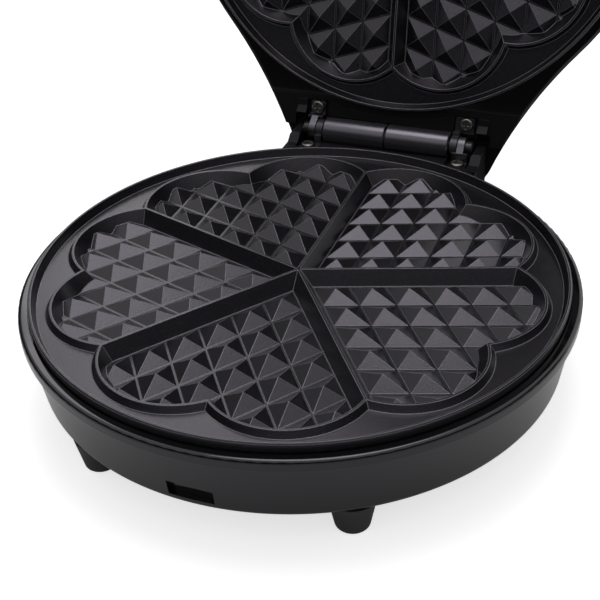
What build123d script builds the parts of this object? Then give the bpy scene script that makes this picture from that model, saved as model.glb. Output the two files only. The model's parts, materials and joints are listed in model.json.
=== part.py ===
from build123d import *
from math import atan2, cos, radians, sin, sqrt, tan
import os

os.makedirs("parts", exist_ok=True)

# Heart waffle maker, lid open. Millimetres, +Z up, hinge at the back (+Y), handle at the front.
# The origin lies on the table, under the middle of the plates.
# Pieces of the lid are drawn with the lid shut, and turned open about the hinge when they are written.

# Plates: five hearts round the middle, each a drafted cavity with a lattice of rhombic pyramids
heart_count = 5
crest_height = 42.0
crest_width = 0.8
lobe_radius = 28.2
lobe_side = 18.9
heart_margin = 3.05
cavity_depth = 5.7
cavity_wall_run = 3.3
floor_thickness = 3.3
pyramid_height = 3.4
pyramid_pitch = 12.55
valley_width = 0.7
annulus_drop = 2.3
crest_outer_run = 1.6
lip_rise = 1.0
lip_width = 0.7
lip_corner = 0.5
lip_run = 1.5
plate_radius = 98.0
plate_skirt_width = 4.0
plate_skirt_height = 5.2
plate_gap = 1.0

# Base housing
wall = 2.4
housing_bottom = 12.5
housing_bottom_corner = 2.5
wall_lean = 3.3
plate_clearance = 0.4
rim_width = 3.6
rim_drop = 2.6
rim_band = 4.0
rim_step = 1.5
rim_bevel = 0.6
rim_round = 1.3
seat_width = 3.9
seat_thickness = 2.0
seat_margin = 0.2
tab_width = 12.0
tab_thickness = 2.0

# Hinge: two barrels side by side, and outside each a pin with the knuckles of two steel straps
hinge_margin = 8.0
open_angle = 101.5
barrel_radius = 5.8
barrel_length = 28.0
barrel_gap = 0.3
barrel_bevel = 0.4
pin_radius = 2.9
pin_bevel = 0.5
pin_insert = 2.3
pin_end_gap = 0.3
running_clearance = 0.05
seat_clearance = 0.02
trough_clearance = 0.6
deck_drop = 3.5
deck_round = 2.0
knuckle_wall = 1.45
knuckle_width = 3.0
knuckle_gap = 0.7
knuckle_spacing = 0.4
leaf_drop = 5.5
leaf_thickness = 1.2
leaf_width = 6.8
leaf_length = 5.9
leaf_corner = 1.0
leaf_clearance = 0.3
leaf_neck = 2.0
leaf_wrap_angle = 40.0
leaf_screw_inset = 3.1
leaf_screw_length = 6.0
screw_head_radius = 3.0
screw_head = 1.7
screw_shank_radius = 1.6
screw_length = 8.0
screw_end_gap = 0.5
screw_hole_clearance = 0.3
cross_length = 3.6
cross_width = 0.8
cross_depth = 0.9
cheek_gap = 0.2
cheek_room = 3.5
cheek_width = 4.6
cheek_front = 9.2
cheek_slope_run = 4.2
cheek_back = 4.2
cheek_lid_back = 2.5
cheek_round = 1.2
stop_depth = 7.5
stop_gap = 0.3
sleeve_end_gap = 4.0
sleeve_bore_radius = 1.9
lead_hole_radius = 2.2

# Lid housing
lid_rise = 31.0
lid_draft = 9.0
lid_top_round = 7.0
tail_length = 20.0
tail_inset = 1.5
flare_radius = 193.5
tail_corner = 14.0

# Handle and latch
handle_pad_margin = 1.5
handle_pad_depth = 11.0
handle_pad_side = 2.9
handle_pad_edge = 1.45
handle_length = 34.5
handle_width = 58.0
handle_tip_width = 46.0
handle_rise = 9.5
handle_thickness = 15.0
handle_round = 4.5
handle_corner = 10.0
handle_tip_wall = 5.0
latch_width = 22.0
latch_arm_width = 13.0
latch_arm_thickness = 3.2
latch_arm_gap = 0.8
latch_offset = 9.5
latch_rise = 3.5
latch_boss_radius = 4.0
latch_pin_radius = 1.5
latch_pin_grip = 6.0
latch_pin_screw_gap = 3.0
latch_clearance = 0.6
latch_lever_thickness = 3.0
latch_lever_gap = 1.0
latch_round = 0.8
latch_swing = 24.0
hook_gap = 0.5
hook_height = 3.0
hook_bite = 2.6
window_width = 16.0
window_sill = 0.7
window_height = 6.4

# Heating
plate_screw_count = 4
plate_screw_inset = 18.0
plate_boss_radius = 5.0
plate_screw_depth = 5.7
element_inset = 20.0
element_tube_radius = 3.25
element_sink = 1.6
element_gap_angle = 50.0
element_post = 11.0
element_post_step = 0.15
element_pin = 3.0
element_pin_radius = 1.2
clamp_thickness = 1.2
clamp_half_width = 10.0
shield_thickness = 0.8
shield_lap = 5.0
shield_rim_width = 13.0
shield_depth = 2.2
post_clearance = 1.0

# Bottom cover, feet and screws
floor_width = 21.2
cover_lap = 6.7
cover_flange = 1.2
cover_thickness = 2.0
cover_gap = 0.3
cover_slot_count = 9
cover_slot_width = 3.0
cover_slot_length = 40.0
cover_slot_pitch = 9.0
cover_screw_count = 4
cover_boss_radius = 3.3
cover_boss_gap = 0.9
foot_top_radius = 8.2
foot_bottom_radius = 5.8
foot_round = 1.4
foot_stem_radius = 3.0
front_foot_angle = 31.0
rear_foot_inset = 13.0

# Electrics
knob_radius = 15.0
knob_height = 11.0
knob_reach = 46.0
knob_gap = 0.6
knob_cap = 2.4
knob_grip_count = 20
knob_grip_radius = 1.1
knob_mark_width = 1.6
knob_mark_depth = 0.6
shaft_radius = 3.0
shaft_end_gap = 0.3
dial_recess_margin = 2.0
dial_recess_depth = 1.0
thermostat_size = 26.0
thermostat_gap = 1.2
thermostat_corner = 2.0
lamp_spacing = 16.0
lamp_reach = 14.0
lamp_radius = 3.6
lamp_rise = 1.4
lamp_holder_end = 3.4
lamp_holder_side = 1.4
lamp_holder_corner = 1.5
lamp_gap = 3.0
terminal_length = 34.0
terminal_width = 13.0
terminal_height = 7.0
terminal_inset = 17.0
fuse_radius = 2.6
fuse_length = 22.0
fuse_bevel = 0.6
fuse_reach = 20.0
fuse_lead_radius = 0.6
gland_neck_radius = 5.5
gland_bore_radius = 3.4
gland_flange_radius = 7.5
gland_lock = 1.2
gland_flange = 1.6
gland_rise = 8.1
gland_inset = 10.0

# How far a cut runs past the face that it opens
overrun = 1.0

# Heights worked out from those above
spoke_angle = 180.0 / heart_count
lip_height = crest_height + lip_rise
parting_height = lip_height + plate_gap / 2
floor_height = crest_height - cavity_depth
annulus_height = crest_height - annulus_drop
plate_underside = floor_height - floor_thickness
plate_skirt_bottom = annulus_height - plate_skirt_height
seat_underside = plate_skirt_bottom - seat_thickness
rim_height = crest_height - rim_drop
deck_height = parting_height - deck_drop
housing_floor = housing_bottom + wall
lid_deck_height = parting_height + deck_drop
lid_rim_height = 2 * parting_height - rim_height
lid_seat_height = 2 * parting_height - plate_skirt_bottom
lid_top_height = parting_height + lid_rise
lid_ceiling = lid_top_height - wall
element_height = plate_underside + element_sink - element_tube_radius
clamp_top = element_height - element_tube_radius
clamp_bottom = clamp_top - clamp_thickness
shield_rim_bottom = clamp_bottom - shield_thickness
tab_bottom = shield_rim_bottom - tab_thickness
shield_floor_bottom = shield_rim_bottom - shield_depth
lid_shield_top = 2 * parting_height - shield_floor_bottom
cover_boss_top = shield_floor_bottom - cover_boss_gap
window_bottom = housing_floor + window_sill
window_top = window_bottom + window_height
hook_top = window_top - hook_gap
handle_bottom = parting_height + handle_rise
handle_top = handle_bottom + handle_thickness
handle_middle = handle_bottom + handle_thickness / 2
latch_height = handle_bottom + latch_rise
gland_height = housing_floor + gland_rise

# Distances from the middle, worked out in the same way
annulus_radius = plate_radius - lip_corner - lip_width - lip_run
crown_reach = annulus_radius - heart_margin - crest_outer_run - crest_width / 2
lobe_reach = sqrt((crown_reach - lobe_radius) ** 2 - lobe_side**2)
opening_radius = plate_radius + plate_clearance
seat_inner_radius = opening_radius - seat_width
rim_radius = opening_radius + rim_width
wall_top_radius = rim_radius - rim_step
housing_bottom_radius = wall_top_radius - wall_lean
bottom_opening_radius = housing_bottom_radius - floor_width
cover_radius = bottom_opening_radius + cover_lap
cover_screw_reach = bottom_opening_radius + cover_lap / 2
foot_reach = housing_bottom_radius - foot_top_radius
plate_screw_reach = plate_radius - plate_screw_inset
element_radius = plate_screw_reach - element_inset
clamp_inner_radius = element_radius - clamp_half_width
clamp_outer_radius = element_radius + clamp_half_width
shield_radius = plate_screw_reach + shield_lap
shield_pan_radius = shield_radius - shield_rim_width
hinge_reach = rim_radius + hinge_margin
terminal_reach = hinge_reach - terminal_inset
gland_reach = hinge_reach - gland_inset
handle_pad_reach = rim_radius + handle_pad_margin
handle_reach = handle_pad_reach + handle_length
latch_reach = handle_pad_reach + latch_offset
dial_recess_radius = knob_radius + dial_recess_margin

# The hinge from its middle outwards
bore_radius = pin_radius + running_clearance
knuckle_radius = bore_radius + knuckle_wall
trough_radius = barrel_radius + trough_clearance
barrel_end = barrel_gap + barrel_length
barrel_middle = barrel_gap + barrel_length / 2
pin_start = barrel_end - pin_insert
inner_knuckle_start = barrel_end + knuckle_gap
outer_knuckle_start = inner_knuckle_start + knuckle_width + knuckle_spacing
leaf_middle = outer_knuckle_start + knuckle_width / 2
cheek_inner = outer_knuckle_start + knuckle_width + cheek_room
cheek_outer = cheek_inner + cheek_width
pin_length = cheek_inner - pin_end_gap - pin_start
sleeve_length = 2 * (pin_start - sleeve_end_gap)
web_back = knuckle_radius + leaf_clearance
web_front = web_back + leaf_thickness
leaf_screw_reach = web_front + leaf_screw_inset
tail_half_width = cheek_outer - tail_inset

hinge_axis = Axis((0, hinge_reach, parting_height), (1, 0, 0))
latch_axis = Axis((0, -latch_reach, latch_height), (1, 0, 0))
parting_plane = Plane.XY.offset(parting_height)


def save(piece, label, on_lid=False):
    """Write a finished piece, turned open with the lid where it belongs to the lid."""
    solid = piece.part
    if on_lid:
        solid = solid.rotate(hinge_axis, -open_angle)
    solid.label = label
    export_step(solid, f"parts/{label}.step")


def heart_points(inset):
    """Corner and arc points of one heart outline whose bisector runs along -Y, drawn inside its crest."""
    half = radians(spoke_angle)
    reach_on_side = lobe_reach * cos(half) + lobe_side * sin(half)
    offset_from_side = lobe_reach * sin(half) - lobe_side * cos(half) - inset
    radius = lobe_radius - inset
    tip = inset / sin(half)
    run = reach_on_side - tip * cos(half) + sqrt(radius**2 - offset_from_side**2)
    side_end = (tip + run * cos(half), run * sin(half))
    notch = (lobe_reach + sqrt(radius**2 - lobe_side**2), 0.0)
    start = atan2(side_end[1] - lobe_side, side_end[0] - lobe_reach)
    end = atan2(notch[1] - lobe_side, notch[0] - lobe_reach)
    middle = (start + end) / 2
    crown = (lobe_reach + radius * cos(middle), lobe_side + radius * sin(middle))
    return [(tip, 0.0), side_end, crown, notch]


def heart_face(inset, height):
    """One heart, bisector along -Y, on the plane at the given height."""
    tip, side_end, crown, notch = [(v, -u) for u, v in heart_points(inset)]
    with BuildSketch(Plane.XY.offset(height)) as heart:
        with BuildLine():
            Line(tip, side_end)
            ThreePointArc(side_end, crown, notch)
            ThreePointArc(notch, (-crown[0], crown[1]), (-side_end[0], side_end[1]))
            Line((-side_end[0], side_end[1]), tip)
        make_face()
    return heart.sketch


def flower_face(outset, height):
    """The outline round all the hearts, standing a little outside their crests."""
    half = radians(spoke_angle)
    reach_on_side = lobe_reach * cos(half) + lobe_side * sin(half)
    offset_from_side = lobe_reach * sin(half) - lobe_side * cos(half)
    radius = lobe_radius + outset
    cusp = reach_on_side + sqrt(radius**2 - offset_from_side**2)
    notch = lobe_reach + sqrt(radius**2 - lobe_side**2)
    crown_angle = atan2(lobe_side, lobe_reach)
    crown = sqrt(lobe_reach**2 + lobe_side**2) + radius
    with BuildSketch(Plane.XY.offset(height)) as flower:
        with BuildLine():
            for index in range(heart_count):
                bisector = radians(-90 + 2 * spoke_angle * index)
                middle = (notch * cos(bisector), notch * sin(bisector))
                for side in (-1, 1):
                    top = bisector + side * crown_angle
                    edge = bisector + side * half
                    ThreePointArc(
                        (cusp * cos(edge), cusp * sin(edge)),
                        (crown * cos(top), crown * sin(top)),
                        middle,
                    )
        make_face()
    return flower.sketch


def ridge_prisms(side, mode):
    """Parallel ridges along one straight side of the heart; two crossing sets leave the pyramids."""
    half = radians(spoke_angle)
    along = Vector(side * sin(half), -cos(half), 0)
    inward = Vector(-side * cos(half), -sin(half), 0)
    start = crest_width / 2 + cavity_wall_run
    count = int((lobe_reach + lobe_radius) * sin(2 * half) / pyramid_pitch) + 2
    plane = Plane(origin=(0, 0, floor_height), x_dir=inward, z_dir=along)
    up = 1 if plane.y_dir.Z > 0 else -1
    length = lobe_reach + 2 * lobe_radius
    with BuildSketch(plane) as ridges:
        for index in range(count):
            left = start + index * pyramid_pitch + valley_width / 2
            right = left + pyramid_pitch - valley_width
            with BuildLine():
                Polyline(
                    (left, -up * overrun),
                    (left, 0),
                    ((left + right) / 2, up * pyramid_height),
                    (right, 0),
                    (right, -up * overrun),
                    close=True,
                )
            make_face()
    extrude(ridges.sketch, amount=length, both=True, mode=mode)


def lid_outline(inset, height):
    """Plan of the lid: the rim circle flowing in two hollow arcs to a narrow tail behind the hinge."""
    tail_reach = hinge_reach + tail_length
    corner_distance = sqrt(tail_half_width**2 + tail_reach**2)
    along = (corner_distance**2 + rim_radius**2 + 2 * rim_radius * flare_radius) / (2 * corner_distance)
    across = sqrt((rim_radius + flare_radius) ** 2 - along**2)
    corner_x = tail_half_width / corner_distance
    corner_y = tail_reach / corner_distance
    centre = (along * corner_x + across * corner_y, along * corner_y - across * corner_x)
    circle = rim_radius - inset
    flare = flare_radius + inset
    centre_distance = rim_radius + flare_radius
    join = (centre[0] * circle / centre_distance, centre[1] * circle / centre_distance)
    tail_y = tail_reach - inset
    tail_x = centre[0] - sqrt(flare**2 - (tail_y - centre[1]) ** 2)
    start = atan2(centre[1] - join[1], centre[0] - join[0])
    end = atan2(centre[1] - tail_y, centre[0] - tail_x)
    middle = (start + end) / 2
    bend = (centre[0] - flare * cos(middle), centre[1] - flare * sin(middle))
    with BuildSketch(Plane.XY.offset(height)) as outline:
        with BuildLine():
            ThreePointArc((-join[0], join[1]), (0, -circle), join)
            ThreePointArc(join, bend, (tail_x, tail_y))
            Line((tail_x, tail_y), (-tail_x, tail_y))
            ThreePointArc((-tail_x, tail_y), (-bend[0], bend[1]), (-join[0], join[1]))
        make_face()
        fillet(outline.vertices().group_by(Axis.Y)[-1], tail_corner - inset)
    return outline.sketch


def hinge_leaf(side, broad, left=False):
    """Steel strap wrapped round the pin, with a web in front and a flange in a recess. Side is 1 on the lid.

    A broad strap has its knuckle outside and a web as wide as its flange. The other has its knuckle inside.
    """
    knuckle_start = outer_knuckle_start if broad else inner_knuckle_start
    flange_end = leaf_middle + leaf_width / 2
    flange_start = flange_end - leaf_width if broad else inner_knuckle_start
    web_end = flange_end if broad else inner_knuckle_start + knuckle_width
    wrap = radians(leaf_wrap_angle)

    def place(forward, depth):
        return (hinge_reach - forward, parting_height + side * depth)

    if broad:
        fairing = [place(knuckle_radius * cos(wrap), -knuckle_radius * sin(wrap)), place(0, 0)]
    else:
        fairing = [place(0, leaf_clearance)]
    with BuildPart() as leaf:
        with BuildSketch(Plane.YZ.offset(flange_start)):
            with BuildLine():
                Polyline(
                    place(web_back, leaf_drop - leaf_thickness),
                    place(web_front + leaf_length, leaf_drop - leaf_thickness),
                    place(web_front + leaf_length, leaf_drop),
                    place(web_back, leaf_drop),
                    close=True,
                )
            make_face()
        extrude(amount=flange_end - flange_start)
        fillet(leaf.edges().filter_by(Axis.Z).group_by(Axis.Y)[0], leaf_corner)
        with BuildSketch(Plane.XY.offset(parting_height + side * leaf_drop)):
            with Locations((leaf_middle, hinge_reach - leaf_screw_reach)):
                Circle(screw_shank_radius + seat_clearance)
        extrude(amount=-side * leaf_thickness, mode=Mode.SUBTRACT)
        with BuildSketch(Plane.YZ.offset(flange_start)):
            with BuildLine():
                Polyline(
                    place(web_back, leaf_clearance),
                    place(web_front, leaf_clearance),
                    place(web_front, leaf_drop),
                    place(web_back, leaf_drop),
                    close=True,
                )
            make_face()
        extrude(amount=web_end - flange_start)
        with BuildSketch(Plane.YZ.offset(knuckle_start)):
            with BuildLine():
                Polyline(
                    place(0, leaf_neck),
                    place(web_front, leaf_neck),
                    place(web_front, leaf_clearance),
                    *fairing,
                    close=True,
                )
            make_face()
            with Locations((hinge_reach, parting_height)):
                Circle(knuckle_radius)
                Circle(bore_radius, mode=Mode.SUBTRACT)
        extrude(amount=knuckle_width)
        if left:
            mirror(about=Plane.YZ, mode=Mode.REPLACE)
    return leaf


def leaf_screws(side):
    """Two cross-recessed screws that hold the leaves of one side to its deck."""
    seat = parting_height + side * (leaf_drop - leaf_thickness)
    head_face = seat - side * screw_head
    places = [(-leaf_middle, hinge_reach - leaf_screw_reach), (leaf_middle, hinge_reach - leaf_screw_reach)]
    with BuildPart() as screws:
        with BuildSketch(Plane.XY.offset(seat)):
            with Locations(*places):
                Circle(screw_head_radius)
        extrude(amount=-side * screw_head)
        rims = screws.edges().filter_by(GeomType.CIRCLE).group_by(Axis.Z)
        fillet(rims[-1] if side < 0 else rims[0], screw_head * 0.6)
        with BuildSketch(Plane.XY.offset(seat)):
            with Locations(*places):
                Circle(screw_shank_radius)
        extrude(amount=side * (leaf_screw_length - screw_end_gap))
        with BuildSketch(Plane.XY.offset(head_face)):
            with Locations(*places):
                Rectangle(cross_length, cross_width)
                Rectangle(cross_width, cross_length)
        extrude(amount=side * cross_depth, mode=Mode.SUBTRACT)
    return screws


def leaf_seats(side):
    """Recesses for the two leaves of one side, with the holes of their screws."""
    front = hinge_reach - web_front - leaf_length - leaf_clearance
    start = inner_knuckle_start - leaf_clearance
    with BuildPart() as holes:
        with BuildSketch(Plane.XY.offset(parting_height + side * (deck_drop - overrun))):
            with Locations((-(start + cheek_inner) / 2, (front + hinge_reach) / 2)):
                Rectangle(cheek_inner - start, hinge_reach - front)
            with Locations(((start + cheek_inner) / 2, (front + hinge_reach) / 2)):
                Rectangle(cheek_inner - start, hinge_reach - front)
        extrude(amount=side * (leaf_drop - deck_drop + overrun))
        with BuildSketch(Plane.XY.offset(parting_height + side * leaf_drop)):
            with Locations((-leaf_middle, hinge_reach - leaf_screw_reach)):
                Circle(screw_shank_radius + seat_clearance)
            with Locations((leaf_middle, hinge_reach - leaf_screw_reach)):
                Circle(screw_shank_radius + seat_clearance)
        extrude(amount=side * (leaf_screw_length - leaf_thickness))
    return holes.part


def tube_x(radius, start, end):
    """Round bar along the hinge axis, between two places across the hinge."""
    with BuildPart() as bar:
        with BuildSketch(Plane.YZ.offset(start)):
            with Locations((hinge_reach, parting_height)):
                Circle(radius)
        extrude(amount=end - start)
    return bar.part


def hinge_barrel(start, end, side):
    """Tube that hides the pin's inner end, with a hole for the leads."""
    with BuildPart() as barrel:
        add(tube_x(barrel_radius, start, end))
        chamfer(barrel.edges().filter_by(GeomType.CIRCLE), barrel_bevel)
        add(tube_x(bore_radius, start, end), mode=Mode.SUBTRACT)
        with BuildSketch(Plane.XY.offset(parting_height)):
            with Locations(((start + end) / 2, hinge_reach)):
                Circle(lead_hole_radius)
        extrude(amount=side * (barrel_radius + overrun), mode=Mode.SUBTRACT)
    return barrel


def hinge_pin(start):
    with BuildPart() as pin:
        add(tube_x(pin_radius, start, start + pin_length))
        chamfer(pin.edges().filter_by(GeomType.CIRCLE), pin_bevel)
    return pin


def cheek(side, back):
    """Rounded blocks at both ends of the hinge, standing on the deck of one side."""
    face = parting_height + side * cheek_gap
    with BuildPart() as cheeks:
        with BuildSketch(Plane.YZ.offset(cheek_inner)):
            with BuildLine():
                Polyline(
                    (hinge_reach - cheek_front, parting_height + side * (deck_drop + overrun)),
                    (hinge_reach - cheek_front, parting_height + side * deck_drop),
                    (hinge_reach - cheek_front + cheek_slope_run, face),
                    (hinge_reach + back, face),
                    (hinge_reach + back, parting_height + side * (deck_drop + overrun)),
                    close=True,
                )
            make_face()
        extrude(amount=cheek_outer - cheek_inner)
        tops = cheeks.faces().filter_by(Plane.XY).group_by(Axis.Z)[-1 if side < 0 else 0]
        fillet(tops.edges().filter_by(Axis.Y), cheek_round)
        mirror(about=Plane.YZ)
    return cheeks.part


def plate_tabs(side):
    """Tabs inside a housing that the plate's screws pass through."""
    with BuildPart() as tabs:
        height = parting_height + side * (parting_height - shield_rim_bottom)
        wall_middle = (wall_top_radius + housing_bottom_radius - wall) / 2
        length = wall_middle - plate_screw_reach + plate_boss_radius + overrun
        with BuildSketch(Plane.XY.offset(height)):
            with PolarLocations(wall_middle - length / 2, plate_screw_count, 45):
                Rectangle(length, tab_width)
            with PolarLocations(plate_screw_reach, plate_screw_count, 45):
                Circle(screw_shank_radius + screw_hole_clearance, mode=Mode.SUBTRACT)
        extrude(amount=side * tab_thickness)
    return tabs.part


# One heart's pyramids, and the shape that is cut from the plate round them
with BuildPart() as pyramids:
    ridge_prisms(1, Mode.ADD)
    ridge_prisms(-1, Mode.INTERSECT)

with BuildPart() as cavity:
    loft(
        [
            heart_face(crest_width / 2, crest_height),
            heart_face(crest_width / 2 + cavity_wall_run, floor_height),
        ],
        ruled=True,
    )
    add(pyramids.part, mode=Mode.SUBTRACT)

# Lower plate, a casting: skirt, lip, flat ring, crests and cavities, screw bosses below
with BuildPart() as lower_plate:
    with BuildSketch(Plane.XZ):
        with BuildLine():
            Polyline(
                (0, plate_underside),
                (plate_radius - plate_skirt_width, plate_underside),
                (plate_radius - plate_skirt_width, plate_skirt_bottom),
                (plate_radius, plate_skirt_bottom),
                (plate_radius, lip_height - lip_corner),
                (plate_radius - lip_corner, lip_height),
                (plate_radius - lip_corner - lip_width, lip_height),
                (annulus_radius, annulus_height),
                (0, annulus_height),
                close=True,
            )
        make_face()
    revolve(axis=Axis.Z)
    loft(
        [
            flower_face(crest_width / 2 + crest_outer_run, annulus_height),
            flower_face(crest_width / 2, crest_height),
        ],
        ruled=True,
    )
    with PolarLocations(0, heart_count):
        add(cavity.part, mode=Mode.SUBTRACT)
    with BuildSketch(Plane.XY.offset(plate_underside)):
        Circle(element_radius + element_tube_radius)
        Circle(element_radius - element_tube_radius, mode=Mode.SUBTRACT)
    extrude(amount=element_sink, mode=Mode.SUBTRACT)
    with BuildSketch(Plane.XY.offset(clamp_top)):
        with PolarLocations(plate_screw_reach, plate_screw_count, 45):
            Circle(plate_boss_radius)
    extrude(amount=plate_underside - clamp_top)
    with BuildSketch(Plane.XY.offset(clamp_top)):
        with PolarLocations(plate_screw_reach, plate_screw_count, 45):
            Circle(screw_shank_radius + seat_clearance)
    extrude(amount=plate_screw_depth, mode=Mode.SUBTRACT)

# Heating element: open ring of tube with two posts that carry its pins
post_angle = radians(90 + element_gap_angle / 2)
post_x = element_radius * cos(post_angle)
post_y = element_radius * sin(post_angle)
posts = [(post_x, post_y), (-post_x, post_y)]
post_plane = Plane((0, 0, 0), x_dir=(post_x, post_y, 0), z_dir=(post_y, -post_x, 0))
post_bottom = element_height - element_post
with BuildPart() as lower_element:
    with BuildSketch(post_plane):
        with Locations((element_radius, element_height)):
            Circle(element_tube_radius)
    revolve(axis=Axis.Z, revolution_arc=360 - element_gap_angle)
    with Locations((post_x, post_y, element_height), (-post_x, post_y, element_height)):
        Sphere(element_tube_radius)
    with BuildSketch(Plane.XY.offset(post_bottom)):
        with Locations(*posts):
            Circle(element_tube_radius - element_post_step)
    extrude(amount=element_post)
    with BuildSketch(Plane.XY.offset(post_bottom)):
        with Locations(*posts):
            Circle(element_pin_radius)
    extrude(amount=-element_pin)

# Clamp ring with four lugs
with BuildPart() as lower_clamp:
    with BuildSketch(Plane.XY.offset(clamp_bottom)):
        Circle(clamp_outer_radius)
        with PolarLocations(plate_screw_reach - plate_boss_radius, plate_screw_count, 45):
            Rectangle(4 * plate_boss_radius, tab_width)
        Circle(clamp_inner_radius, mode=Mode.SUBTRACT)
        with PolarLocations(plate_screw_reach, plate_screw_count, 45):
            Circle(screw_shank_radius + screw_hole_clearance, mode=Mode.SUBTRACT)
        with Locations(*posts):
            Circle(element_tube_radius + post_clearance, mode=Mode.SUBTRACT)
    extrude(amount=clamp_thickness)

# Heat shield, a shallow pressed pan
with BuildPart() as lower_heat_shield:
    with BuildSketch(Plane.XZ):
        with BuildLine():
            Polyline(
                (0, shield_floor_bottom),
                (shield_pan_radius + shield_thickness, shield_floor_bottom),
                (shield_pan_radius + shield_thickness, shield_rim_bottom),
                (shield_radius, shield_rim_bottom),
                (shield_radius, clamp_bottom),
                (shield_pan_radius, clamp_bottom),
                (shield_pan_radius, shield_floor_bottom + shield_thickness),
                (0, shield_floor_bottom + shield_thickness),
                close=True,
            )
        make_face()
    revolve(axis=Axis.Z)
    with BuildSketch(Plane.XY.offset(shield_floor_bottom)):
        with PolarLocations(plate_screw_reach, plate_screw_count, 45):
            Circle(screw_shank_radius + screw_hole_clearance)
        with Locations(*posts):
            Circle(element_tube_radius + post_clearance)
    extrude(amount=shield_depth + shield_thickness, mode=Mode.SUBTRACT)

with BuildPart() as lower_plate_screws:
    with BuildSketch(Plane.XY.offset(tab_bottom)):
        with PolarLocations(plate_screw_reach, plate_screw_count, 45):
            Circle(screw_head_radius)
    extrude(amount=-screw_head)
    fillet(lower_plate_screws.edges().filter_by(GeomType.CIRCLE).group_by(Axis.Z)[0], screw_head * 0.6)
    with BuildSketch(Plane.XY.offset(tab_bottom)):
        with PolarLocations(plate_screw_reach, plate_screw_count, 45):
            Circle(screw_shank_radius)
    extrude(amount=clamp_top - tab_bottom + plate_screw_depth - screw_end_gap)

# The lid carries the same set upside down
with BuildPart() as upper_plate:
    add(lower_plate.part.mirror(parting_plane))
with BuildPart() as upper_element:
    add(lower_element.part.mirror(parting_plane))
with BuildPart() as upper_clamp:
    add(lower_clamp.part.mirror(parting_plane))
with BuildPart() as upper_heat_shield:
    add(lower_heat_shield.part.mirror(parting_plane))
with BuildPart() as upper_plate_screws:
    add(lower_plate_screws.part.mirror(parting_plane))

save(lower_plate, "lower_plate")
save(lower_element, "lower_element")
save(lower_clamp, "lower_clamp_ring")
save(lower_heat_shield, "lower_heat_shield")
save(lower_plate_screws, "lower_plate_screws")
save(upper_plate, "upper_plate", on_lid=True)
save(upper_element, "upper_element", on_lid=True)
save(upper_clamp, "upper_clamp_ring", on_lid=True)
save(upper_heat_shield, "upper_heat_shield", on_lid=True)
save(upper_plate_screws, "upper_plate_screws", on_lid=True)

# Base housing: round shell with a rim, and a neck at the back that carries the hinge
stop_angle = radians(open_angle - 90)
stop_face = stop_depth - stop_gap
neck_top_y = hinge_reach + (stop_face - deck_drop * sin(stop_angle)) / cos(stop_angle)
neck_slope = tan(stop_angle)
neck_bottom_y = neck_top_y - (deck_height - housing_bottom) * neck_slope
wall_slope = (wall_top_radius - housing_bottom_radius) / (rim_height - rim_band - housing_bottom)
floor_inner_radius = housing_bottom_radius + wall_slope * wall - wall
seat_wall_radius = wall_top_radius - wall - seat_margin
front_foot_x = foot_reach * sin(radians(front_foot_angle))
front_foot_y = -foot_reach * cos(radians(front_foot_angle))
rear_foot_x = cheek_outer - rear_foot_inset
rear_foot_y = hinge_reach - rear_foot_inset
foot_places = [
    (-front_foot_x, front_foot_y),
    (front_foot_x, front_foot_y),
    (-rear_foot_x, rear_foot_y),
    (rear_foot_x, rear_foot_y),
]
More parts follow.
